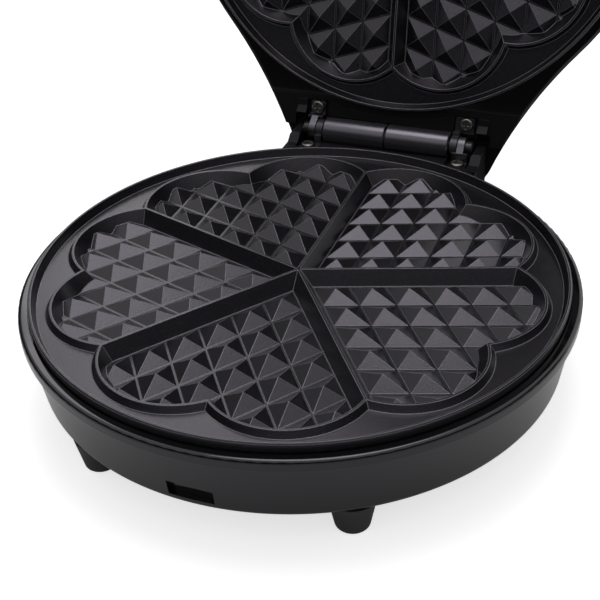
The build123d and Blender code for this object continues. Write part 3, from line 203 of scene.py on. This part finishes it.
# %% [markdown]
# ## Worked metal, a shared effect
# Pressed straps, pins, screws, tube and sheet all show fine drawn lines and dull spots where they have been handled or
# heated. One group gives the lines, stretched along X as the hinge's bright parts are, and the spots.

# %% Worked metal group
worked, w_in, w_out = new_group(
    "worked_metal",
    [("Line Scale", 900.0), ("Spot Scale", 90.0)],
    [("Lines", "Float"), ("Spots", "Float")],
)
stretch = add_node(worked, "ShaderNodeVectorMath", {0: w_in.outputs["Vector"]}, operation="MULTIPLY")
stretch.inputs[1].default_value = (0.08, 1.0, 1.0)
lines = add_node(worked, "ShaderNodeTexNoise", {"Vector": stretch.outputs[0], "Scale": w_in.outputs["Line Scale"]},
                 Detail=4.0, Roughness=0.6)
spots = add_node(worked, "ShaderNodeTexNoise", {"Vector": w_in.outputs["Vector"], "Scale": w_in.outputs["Spot Scale"]},
                 Detail=6.0, Roughness=0.7)
worked.links.new(lines.outputs["Fac"], w_out.inputs["Lines"])
worked.links.new(spots.outputs["Fac"], w_out.inputs["Spots"])
print("group:", worked.name, len(worked.nodes), "nodes")

# %% [markdown]
# ## Recipes for the finishes
# Two recipes cover most parts. `plastic_finish` is for moulded parts: the smudges vary the roughness and the dust
# lightens the colour a little. `metal_finish` is for worked metal: the lines vary the roughness and spots darken it.
# Both end in the rounded edge normal.

# %% Recipes for the finishes
def vary(tree, socket, low, high):
    """A value that runs from low to high with a mask."""
    return ramp(tree, socket, 0.0, 1.0, low, high)


def blend_colour(tree, mask, first, second):
    """A colour that runs from first (a colour or a socket) to second with a mask."""
    node = add_node(tree, "ShaderNodeMix", {"Factor": mask}, data_type="RGBA")
    ends = {socket.name: socket for socket in node.inputs if socket.type == "RGBA"}
    if isinstance(first, tuple):
        ends["A"].default_value = (*first, 1)
    else:
        tree.links.new(first, ends["A"])
    ends["B"].default_value = (*second, 1)
    return next(socket for socket in node.outputs if socket.type == "RGBA")


def plastic_finish(name, colour, dusty, rough, wave=30.0, grain=2500.0, grain_depth=0.2, dust=0.3, depth=0.00003,
                   edge=0.0003, ior=1.5):
    material, tree, shader = new_material(name, colour, rough[0], ior=ior)
    place = add_node(tree, "ShaderNodeTexCoord")
    surface = use_group(tree, moulded, {"Vector": place.outputs["Object"]}, Wave_Scale=wave, Grain_Scale=grain,
                        Grain_Depth=grain_depth, Dust_Amount=dust)
    tree.links.new(blend_colour(tree, surface.outputs["Dust"], colour, dusty), shader.inputs["Base Color"])
    tree.links.new(vary(tree, surface.outputs["Smudge"], *rough), shader.inputs["Roughness"])
    normal = use_group(tree, rounded, {"Height": surface.outputs["Height"]}, Edge_Radius=edge, Depth=depth)
    tree.links.new(normal.outputs["Normal"], shader.inputs["Normal"])
    return material


def metal_finish(name, colour, dull, rough, line=900.0, spot=90.0, depth=0.00001, edge=0.0002, metallic=1.0):
    material, tree, shader = new_material(name, colour, rough[0], metallic=metallic)
    place = add_node(tree, "ShaderNodeTexCoord")
    surface = use_group(tree, worked, {"Vector": place.outputs["Object"]}, Line_Scale=line, Spot_Scale=spot)
    tree.links.new(blend_colour(tree, surface.outputs["Spots"], colour, dull), shader.inputs["Base Color"])
    tree.links.new(vary(tree, surface.outputs["Lines"], *rough), shader.inputs["Roughness"])
    normal = use_group(tree, rounded, {"Height": surface.outputs["Lines"]}, Edge_Radius=edge, Depth=depth)
    tree.links.new(normal.outputs["Normal"], shader.inputs["Normal"])
    return material


print("recipes ready")

# %% [markdown]
# ## Non-stick coating
# The plates are cast aluminium with a sprayed coating: dark charcoal with a cool sheen, a very fine pebble from the
# spray, and a satin gloss that is a little uneven. It is the surface that fills the picture, so it gets its own
# material: a grain of bump, small pale flakes, and a roughness that drifts slowly. The thin bright lines along the
# edges are highlights in the photo. Rounded normals alone draw them too weakly at this size, so the coating's colour is
# lightened along each edge as well, which is a means of the picture and no wear. The rounded normal leans away from the
# flat one only there, so the angle between them is the mask.

# %% Non-stick coating
COAT_BASE = (0.0045, 0.0042, 0.005)
COAT_FLAKE = (0.022, 0.021, 0.024)
# The third colour is a painted highlight for the bright edge lines, not a colour of the coating.
COAT_PAINTED_HIGHLIGHT = (0.27, 0.258, 0.285)
coating, coat_tree, coat_shader = new_material("nonstick_coating", COAT_BASE, 0.24)
coat_shader.inputs["Specular Tint"].default_value = (0.95, 0.90, 1.0, 1)
coat_place = add_node(coat_tree, "ShaderNodeTexCoord")
pebble = add_node(coat_tree, "ShaderNodeTexNoise", {"Vector": coat_place.outputs["Object"]},
                  Scale=1700.0, Detail=3.0, Roughness=0.6)
flake = add_node(coat_tree, "ShaderNodeTexVoronoi", {"Vector": coat_place.outputs["Object"]}, Scale=1500.0)
flakes = ramp(coat_tree, flake.outputs["Distance"], 0.28, 0.12)
drift = add_node(coat_tree, "ShaderNodeTexNoise", {"Vector": coat_place.outputs["Object"]}, Scale=24.0, Detail=4.0)
edge_normal = add_node(coat_tree, "ShaderNodeBevel", samples=6, Radius=0.00032)
flat_normal = add_node(coat_tree, "ShaderNodeNewGeometry")
lean = add_node(coat_tree, "ShaderNodeVectorMath", {0: edge_normal.outputs[0], 1: flat_normal.outputs["Normal"]},
                operation="DOT_PRODUCT")
# Painted highlight: along each rounded edge the coating's colour turns pale grey, so the edge lines are drawn in the
# colour.
painted_edge_highlight = ramp(coat_tree, lean.outputs["Value"], 0.99, 0.91)
flecked = blend_colour(coat_tree, flakes, COAT_BASE, COAT_FLAKE)
coat_tree.links.new(blend_colour(coat_tree, painted_edge_highlight, flecked, COAT_PAINTED_HIGHLIGHT), coat_shader.inputs["Base Color"])
coat_tree.links.new(vary(coat_tree, drift.outputs["Fac"], 0.20, 0.30), coat_shader.inputs["Roughness"])
coat_normal = use_group(coat_tree, rounded, {"Height": pebble.outputs["Fac"]}, Edge_Radius=0.0005, Depth=0.00005)
coat_tree.links.new(coat_normal.outputs["Normal"], coat_shader.inputs["Normal"])
print("coating ready")

# %% [markdown]
# ## The other finishes
# The housing is glossy black plastic that mirrors the room. The barrels are satin grey, the straps pressed steel gone
# dull, the screws zinc. Each is one line of a recipe, so that its numbers can be compared with its neighbours'.

# %% The other finishes
finishes = {
    "housing": plastic_finish("gloss_black_housing", (0.003, 0.003, 0.0034), (0.03, 0.03, 0.031), (0.05, 0.11),
                              wave=22.0, grain_depth=0.01, dust=0.35, depth=0.00006, edge=0.0004),
    "knob": plastic_finish("black_knob", (0.010, 0.010, 0.011), (0.06, 0.06, 0.06), (0.22, 0.32), edge=0.0003),
    "black_plastic": plastic_finish("matt_black_plastic", (0.018, 0.018, 0.019), (0.07, 0.07, 0.07), (0.48, 0.60),
                                    grain=1800.0, grain_depth=1.2, depth=0.00002),
    "white_plastic": plastic_finish("heat_resistant_plastic", (0.62, 0.61, 0.57), (0.45, 0.44, 0.40), (0.5, 0.6)),
    "foot": plastic_finish("black_rubber", (0.016, 0.016, 0.016), (0.07, 0.07, 0.065), (0.55, 0.72),
                           grain=1400.0, grain_depth=1.5, dust=0.6, depth=0.00003, edge=0.0005),
    "sleeve": plastic_finish("silicone_sleeve", (0.5, 0.47, 0.38), (0.4, 0.38, 0.32), (0.5, 0.6)),
    "barrel": metal_finish("satin_grey_barrel", (0.10, 0.095, 0.11), (0.075, 0.071, 0.082), (0.20, 0.30),
                           metallic=0.75, line=700.0),
    "leaf": metal_finish("pressed_steel_strap", (0.13, 0.125, 0.14), (0.07, 0.067, 0.075), (0.28, 0.50), spot=160.0),
    # A strap finish darker than the pressed steel above; the code gives it only a darker colour.
    "dark_leaf": metal_finish("dark_steel_strap", (0.055, 0.052, 0.06), (0.03, 0.029, 0.032), (0.30, 0.50),
                              spot=160.0, metallic=0.6),
    "screw": metal_finish("zinc_screw", (0.24, 0.23, 0.21), (0.12, 0.115, 0.105), (0.25, 0.45), spot=300.0),
    # Painted shade: the pin finish is nearly black so that the pins look shaded, and every part with it gets that
    # darkness.
    "pin": metal_finish("steel_pin_painted_shade", (0.03, 0.029, 0.032), (0.018, 0.018, 0.019), (0.25, 0.4), metallic=0.5),
    "element": metal_finish("heated_tube", (0.30, 0.27, 0.25), (0.16, 0.13, 0.15), (0.35, 0.55)),
    "sheet": metal_finish("mill_sheet", (0.62, 0.62, 0.62), (0.5, 0.5, 0.5), (0.3, 0.45)),
    "plate": coating,
}
print("finishes:", ", ".join(sorted(finishes)))

# %% [markdown]
# ## Matt pockets round the hinge
# The hinge cheeks of the CAD have small flat faces that mirror the overhead softbox, and the photo has no bright
# squares there. So the housing is matt near the hinge line. The distance from that line, in object coordinates, is the
# mask. It has no limit along the line, so it also leaves a faint round patch on the outer walls beside the hinge. The
# gloss elsewhere has the same cool tint as the coating.

# %% Matt pockets round the hinge
hinge = next(j for j in frame["record"]["behaviour"]["joints"] if j["name"] == "lid_hinge")
hinge_place = Vector(hinge["pos_m"])
POCKET_REACH = 0.0135
POCKET_FADE = 0.003
pocket_tree = finishes["housing"].node_tree
pocket_shader = pocket_tree.nodes["Principled BSDF"]
pocket_place = add_node(pocket_tree, "ShaderNodeTexCoord")
from_axis = add_node(pocket_tree, "ShaderNodeVectorMath", {0: pocket_place.outputs["Object"]}, operation="SUBTRACT")
from_axis.inputs[1].default_value = hinge_place
across = add_node(pocket_tree, "ShaderNodeVectorMath", {0: from_axis.outputs[0]}, operation="MULTIPLY")
across.inputs[1].default_value = (0.0, 1.0, 1.0)
distance = add_node(pocket_tree, "ShaderNodeVectorMath", {0: across.outputs[0]}, operation="LENGTH")
matt = ramp(pocket_tree, distance.outputs["Value"], POCKET_REACH, POCKET_REACH + POCKET_FADE, 1.0, 0.0,
            interpolation_type="SMOOTHSTEP")
polished = pocket_shader.inputs["Roughness"].links[0].from_socket
rougher = add_node(pocket_tree, "ShaderNodeMath", {0: matt, 2: polished}, operation="MULTIPLY_ADD")
rougher.inputs[1].default_value = 0.5
pocket_tree.links.new(rougher.outputs[0], pocket_shader.inputs["Roughness"])
pocket_tree.links.new(vary(pocket_tree, matt, 0.5, 0.2), pocket_shader.inputs["Specular IOR Level"])
pocket_shader.inputs["Specular Tint"].default_value = (0.97, 0.93, 1.0, 1)
print("hinge pockets matt")

# %% [markdown]
# ## Lamp lenses
# The two indicator lenses are clear tinted plastic, so light has to go into them. Transmission does that, with a plain
# colour on the shader and a faint ripple in the bump from the mould.

# %% Lamp lenses
def lens_finish(name, colour):
    material, tree, shader = new_material(name, colour, 0.08, ior=1.49)
    shader.inputs["Transmission Weight"].default_value = 0.6
    place = add_node(tree, "ShaderNodeTexCoord")
    surface = use_group(tree, moulded, {"Vector": place.outputs["Object"]}, Wave_Scale=400.0, Dust_Amount=0.2)
    tree.links.new(blend_colour(tree, surface.outputs["Smudge"], colour, tuple(v * 0.8 for v in colour)),
                   shader.inputs["Base Color"])
    normal = use_group(tree, rounded, {"Height": surface.outputs["Height"]}, Edge_Radius=0.0003, Depth=0.00002)
    tree.links.new(normal.outputs["Normal"], shader.inputs["Normal"])
    return material


finishes["red_lens"] = lens_finish("red_lamp_lens", (0.55, 0.03, 0.02))
finishes["green_lens"] = lens_finish("green_lamp_lens", (0.05, 0.42, 0.09))
print("lenses ready")

# %% Put the finishes on the CAD nodes
slot_of = {entry["node"]: entry["material_slot"] for entry in frame["record"]["subparts"]}
for name, node in frame["nodes"].items():
    node.data.materials.clear()
    node.data.materials.append(finishes[slot_of[name]])
print("dressed", len(slot_of), "nodes")

# %% [markdown]
# ## Dial marks
# Round the dial the lid carries printed marks, one for each step of heat. They repeat along an arc, which is what
# Geometry Nodes do well: one bar is instanced on the points of an arc and turned to face its centre. The tree has named
# inputs for the radius, the count and the bar, and ends in real geometry, because instances aren't exported. The arc
# covers just what the knob's groove passes: it points at the hinge at one stop and a quarter short of a full turn later
# at the other.

# %% Dial marks tree
MARK_RADIUS = 0.0195
MARK_COUNT = 11
DIAL_START = 90
DIAL_SWEEP = 270


def dial_marks_tree(ink):
    tree = bpy.data.node_groups.new("dial_marks", "GeometryNodeTree")
    tree.interface.new_socket("Geometry", in_out="INPUT", socket_type="NodeSocketGeometry")
    sizes = (("Radius", MARK_RADIUS), ("Bar Length", 0.0022), ("Bar Width", 0.0005), ("Thickness", 0.0001))
    for label, default in sizes:
        tree.interface.new_socket(label, in_out="INPUT", socket_type="NodeSocketFloat").default_value = default
    tree.interface.new_socket("Count", in_out="INPUT", socket_type="NodeSocketInt").default_value = MARK_COUNT
    sweep = tree.interface.new_socket("Sweep", in_out="INPUT", socket_type="NodeSocketFloat")
    sweep.default_value = math.radians(DIAL_SWEEP)
    tree.interface.new_socket("Geometry", in_out="OUTPUT", socket_type="NodeSocketGeometry")
    start = tree.nodes.new("NodeGroupInput")
    end = tree.nodes.new("NodeGroupOutput")
    arc = add_node(tree, "GeometryNodeCurveArc",
                   {"Radius": start.outputs["Radius"], "Sweep Angle": start.outputs["Sweep"]})
    arc.inputs["Start Angle"].default_value = math.radians(DIAL_START)
    arc.inputs["Resolution"].default_value = 64
    points = add_node(tree, "GeometryNodeResampleCurve",
                      {"Curve": arc.outputs["Curve"], "Count": start.outputs["Count"]})
    tangent = tree.nodes.new("GeometryNodeInputTangent")
    aim = add_node(tree, "FunctionNodeAlignRotationToVector", {"Vector": tangent.outputs[0]}, axis="Y")
    size = add_node(tree, "ShaderNodeCombineXYZ", {"X": start.outputs["Bar Length"], "Y": start.outputs["Bar Width"],
                                                   "Z": start.outputs["Thickness"]})
    bar = add_node(tree, "GeometryNodeMeshCube", {"Size": size.outputs[0]})
    copies = add_node(tree, "GeometryNodeInstanceOnPoints",
                      {"Points": points.outputs["Curve"], "Instance": bar.outputs["Mesh"], "Rotation": aim.outputs[0]})
    real = add_node(tree, "GeometryNodeRealizeInstances", {"Geometry": copies.outputs["Instances"]})
    painted = add_node(tree, "GeometryNodeSetMaterial", {"Geometry": real.outputs["Geometry"]}, Material=ink)
    tree.links.new(painted.outputs["Geometry"], end.inputs["Geometry"])
    return tree


ink = plastic_finish("white_print", (0.72, 0.72, 0.70), (0.55, 0.55, 0.53), (0.4, 0.5), depth=0.000005, edge=0.00005)
marks_tree = dial_marks_tree(ink)
print("tree:", marks_tree.name, len(marks_tree.nodes), "nodes")

# %% [markdown]
# ## Where the lid's top is
# The lid stands open, so anything printed on its top has to be laid out flat and then turned with it. The place is that
# of the dial with the lid shut. The hinge joint in the record gives the place of the axis and the angle; the axis runs
# along X.

# %% Where the lid's top is
open_turn = math.radians(hinge["range_deg"][1])
shut_to_open = (Matrix.Translation(hinge_place) @ Matrix.Rotation(-open_turn, 4, "X")
                @ Matrix.Translation(-hinge_place))
lid_top = 0.0745
dial_place = Vector((0.0, -0.046, lid_top))
print("lid top at", lid_top, "dial at", tuple(round(v, 4) for v in dial_place))


def settle(piece, transform, body):
    """Move a piece's mesh to its place, leave its object at the origin, and let it ride on a body."""
    piece.data.transform(transform)
    piece.matrix_world = Matrix.Identity(4)
    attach(piece, body)


# %% Dial marks
carrier = bpy.data.objects.new("dial_mark_carrier", bpy.data.meshes.new("dial_mark_carrier"))
bpy.context.scene.collection.objects.link(carrier)
modifier = carrier.modifiers.new("marks", "NODES")
modifier.node_group = marks_tree
socket_ids = {item.name: item.identifier for item in marks_tree.interface.items_tree if item.in_out == "INPUT"}
modifier[socket_ids["Count"]] = MARK_COUNT
modifier[socket_ids["Radius"]] = MARK_RADIUS
depsgraph = bpy.context.evaluated_depsgraph_get()
marks_mesh = bpy.data.meshes.new_from_object(carrier.evaluated_get(depsgraph))
bpy.data.objects.remove(carrier)
dial_marks = bpy.data.objects.new("dial_marks", marks_mesh)
bpy.context.scene.collection.objects.link(dial_marks)
settle(dial_marks, shut_to_open @ Matrix.Translation(dial_place), "lid")
print("dial marks:", len(dial_marks.data.polygons), "faces")

# %% [markdown]
# ## Dial numbers
# Every second mark has a number. Blender's own text makes plain figures; each becomes a mesh with a hair of thickness,
# so that it prints on the lid instead of hanging over it.

# %% Dial numbers
def number_mesh(text, place):
    curve = bpy.data.curves.new("number", "FONT")
    curve.body = text
    curve.size = 0.0048
    curve.extrude = 0.00005
    curve.align_x = "CENTER"
    curve.align_y = "CENTER"
    holder = bpy.data.objects.new("number", curve)
    bpy.context.scene.collection.objects.link(holder)
    mesh = bpy.data.meshes.new_from_object(holder.evaluated_get(bpy.context.evaluated_depsgraph_get()))
    bpy.data.objects.remove(holder)
    mesh.transform(Matrix.Translation(place))
    return mesh


NUMBER_RADIUS = 0.0238
NUMBER_COUNT = 5
numbers = bmesh.new()
for step in range(NUMBER_COUNT):
    angle = math.radians(DIAL_START + DIAL_SWEEP * (1 - (step + 0.5) / NUMBER_COUNT))
    spot = Vector((math.cos(angle) * NUMBER_RADIUS, math.sin(angle) * NUMBER_RADIUS, 0))
    part = number_mesh(str(step + 1), spot)
    numbers.from_mesh(part)
    bpy.data.meshes.remove(part)
numbers_mesh = bpy.data.meshes.new("dial_numbers")
numbers.to_mesh(numbers_mesh)
numbers.free()
numbers_mesh.materials.append(ink)
dial_numbers = bpy.data.objects.new("dial_numbers", numbers_mesh)
bpy.context.scene.collection.objects.link(dial_numbers)
settle(dial_numbers, shut_to_open @ Matrix.Translation(dial_place), "lid")
print("numbers:", len(numbers_mesh.polygons), "faces")

# %% [markdown]
# ## Pocket behind the latch window
# The hook of the latch enters a window in the front of the base. The photo shows a plain wall there, so the window is
# a guess of the CAD. A shallow blind pocket, a guess too, keeps the hollow inside from showing through it. It is a tray
# with its open side on the wall's inner face.

# %% Pocket behind the latch window
def tray(name, low, high, inner_low, inner_high):
    """A box open at the front (-Y): outer corners low to high, pocket from inner_low to inner_high in X and Z."""
    mesh = bpy.data.meshes.new(name)
    (x0, y0, z0), (x1, y1, z1) = low, high
    (a0, b, c0), (a1, _, c1) = inner_low, inner_high
    corners = [(x0, y0, z0), (x1, y0, z0), (x1, y0, z1), (x0, y0, z1),
               (x0, y1, z0), (x1, y1, z0), (x1, y1, z1), (x0, y1, z1),
               (a0, y0, c0), (a1, y0, c0), (a1, y0, c1), (a0, y0, c1),
               (a0, b, c0), (a1, b, c0), (a1, b, c1), (a0, b, c1)]
    faces = [(4, 7, 6, 5), (12, 13, 14, 15)]
    for index in range(4):
        after = (index + 1) % 4
        faces += [(index, index + 4, after + 4, after), (index, after, after + 8, index + 8),
                  (index + 8, after + 8, after + 12, index + 12)]
    mesh.from_pydata([Vector(corner) * MM for corner in corners], [], faces)
    shape = bmesh.new()
    shape.from_mesh(mesh)
    bmesh.ops.recalc_face_normals(shape, faces=shape.faces)
    shape.to_mesh(mesh)
    shape.free()
    mesh.materials.append(finishes["housing"])
    piece = bpy.data.objects.new(name, mesh)
    bpy.context.scene.collection.objects.link(piece)
    return piece


latch_pocket = tray("latch_pocket", (-9.2, -95.8, 14.4), (9.2, -94.1, 23.2), (-8.2, -95.3, 15.4), (8.2, -95.3, 22.2))
settle(latch_pocket, Matrix.Identity(4), "base")
print("latch pocket:", len(latch_pocket.data.polygons), "faces")

# %% [markdown]
# ## Studio
# The object stands on a white table in front of white. The table takes a soft shadow; what the camera sees beyond it
# is the world at a strength of one. Glossy rays see the same white where no screen stands, so the housing mirrors a
# bright room.

# %% Table and world
def stage_floor():
    mesh = bpy.data.meshes.new("table")
    shape = bmesh.new()
    bmesh.ops.create_grid(shape, x_segments=1, y_segments=1, size=3.0)
    shape.to_mesh(mesh)
    shape.free()
    table = bpy.data.objects.new("table", mesh)
    bpy.context.scene.collection.objects.link(table)
    material, tree, shader = new_material("white_table", (0.76, 0.76, 0.76), 0.6)
    rays = add_node(tree, "ShaderNodeLightPath")
    seen = add_node(tree, "ShaderNodeMath", {0: rays.outputs["Is Camera Ray"]}, operation="MULTIPLY")
    seen.inputs[1].default_value = 0.68
    mirrored = add_node(tree, "ShaderNodeMath", {0: rays.outputs["Is Glossy Ray"], 2: seen.outputs[0]},
                        operation="MULTIPLY_ADD")
    mirrored.inputs[1].default_value = 0.08
    glow = add_node(tree, "ShaderNodeEmission", {"Strength": mirrored.outputs[0]})
    both_shaders = add_node(tree, "ShaderNodeAddShader", {0: shader.outputs[0], 1: glow.outputs[0]})
    out = tree.nodes["Material Output"]
    tree.links.new(both_shaders.outputs[0], out.inputs["Surface"])
    mesh.materials.append(material)
    return table


table = stage_floor()
world = bpy.data.worlds.new("white_room")
bpy.context.scene.world = world
world.use_nodes = True
room = world.node_tree
room.nodes.clear()
room_out = add_node(room, "ShaderNodeOutputWorld")
rays = add_node(room, "ShaderNodeLightPath")
seen = add_node(room, "ShaderNodeMath", {0: rays.outputs["Is Camera Ray"], 1: rays.outputs["Is Glossy Ray"]},
                operation="MAXIMUM")
seen_all = add_node(room, "ShaderNodeMath", {0: seen.outputs[0], 1: rays.outputs["Is Transmission Ray"]},
                    operation="MAXIMUM")
strength = vary(room, seen_all.outputs[0], 0.45, 1.0)
backdrop = add_node(room, "ShaderNodeBackground", {"Strength": strength}, Color=(1, 1, 1, 1))
room.links.new(backdrop.outputs[0], room_out.inputs["Surface"])
print("table and world ready")

# %% [markdown]
# ## Softboxes
# A broad softbox hangs over the back of the plate: it is what lights the faces of the pyramids that look at the
# camera. A dimmer one at the back left gives the flat ring its sheen. Their size and place follow from which faces of
# the pyramids are bright.

# %% Softboxes
def softbox(name, place, target, width, depth, watts, colour):
    data = bpy.data.lights.new(name, "AREA")
    data.shape = "RECTANGLE"
    data.size = width
    data.size_y = depth
    data.energy = watts
    data.color = colour
    lamp = bpy.data.objects.new(name, data)
    bpy.context.scene.collection.objects.link(lamp)
    lamp.location = place
    lamp.rotation_euler = (Vector(target) - Vector(place)).to_track_quat("-Z", "Y").to_euler()
    return lamp


softbox("overhead_softbox", (-0.02, 0.11, 0.64), (-0.02, 0.11, 0.04), 0.34, 0.42, 1.65, (0.99, 0.96, 1.0))
softbox("back_left_softbox", (-0.477, 0.935, 0.80), (0.0, 0.0, 0.05), 0.65, 0.5, 1.7, (0.99, 0.97, 1.0))
print("softboxes ready")

# %% [markdown]
# ## Dark side of the studio
# Black gloss shows whatever stands round it. Going by the reflections in the photo, the room in front of the table was
# dark near the floor and brighter towards the ceiling, which makes the inner walls of the hearts, the lip and the open
# lid nearly black. A tall curved screen stands for it, and a flat card behind the base for the black edges of the
# walls. Only mirror reflections see them, so they neither shade the table nor get into a view. The camera still sees
# white all round.

# %% Dark side of the studio
def curved_strip(places, faces, start, sweep, near, far, steps=48):
    """Add a strip round the origin: start and sweep in degrees, near and far the radius and height of its edges."""
    first = len(places)
    for index in range(steps + 1):
        angle = math.radians(start + sweep * index / steps)
        places += [(radius * math.cos(angle), radius * math.sin(angle), height) for radius, height in (near, far)]
    faces += [(first + 2 * i, first + 2 * i + 2, first + 2 * i + 3, first + 2 * i + 1) for i in range(steps)]


def studio_screen():
    mesh = bpy.data.meshes.new("studio_screen")
    places, faces = [], []
    curved_strip(places, faces, 135, 265, near=(1.3, 0.0), far=(1.3, 1.4))
    curved_strip(places, faces, 34, 146, near=(0.02, 0.001), far=(0.3, 0.001))
    mesh.from_pydata(places, [], faces)
    screen = bpy.data.objects.new("studio_screen", mesh)
    bpy.context.scene.collection.objects.link(screen)
    material = bpy.data.materials.new("studio_screen")
    material.use_nodes = True
    tree = material.node_tree
    tree.nodes.remove(tree.nodes["Principled BSDF"])
    place = add_node(tree, "ShaderNodeTexCoord")
    height = add_node(tree, "ShaderNodeSeparateXYZ", {"Vector": place.outputs["Object"]})
    level = ramp(tree, height.outputs["Z"], 0.45, 1.3, 0.03, 1.0, interpolation_type="SMOOTHSTEP")
    glow = add_node(tree, "ShaderNodeEmission", {"Strength": level})
    tree.links.new(glow.outputs[0], tree.nodes["Material Output"].inputs["Surface"])
    mesh.materials.append(material)
    screen.visible_camera = False
    screen.visible_diffuse = False
    screen.visible_transmission = False
    screen.visible_shadow = False
    return screen


screen = studio_screen()
print("screen ready")

# %% View transform
scene = bpy.context.scene
scene.view_settings.view_transform = "Standard"
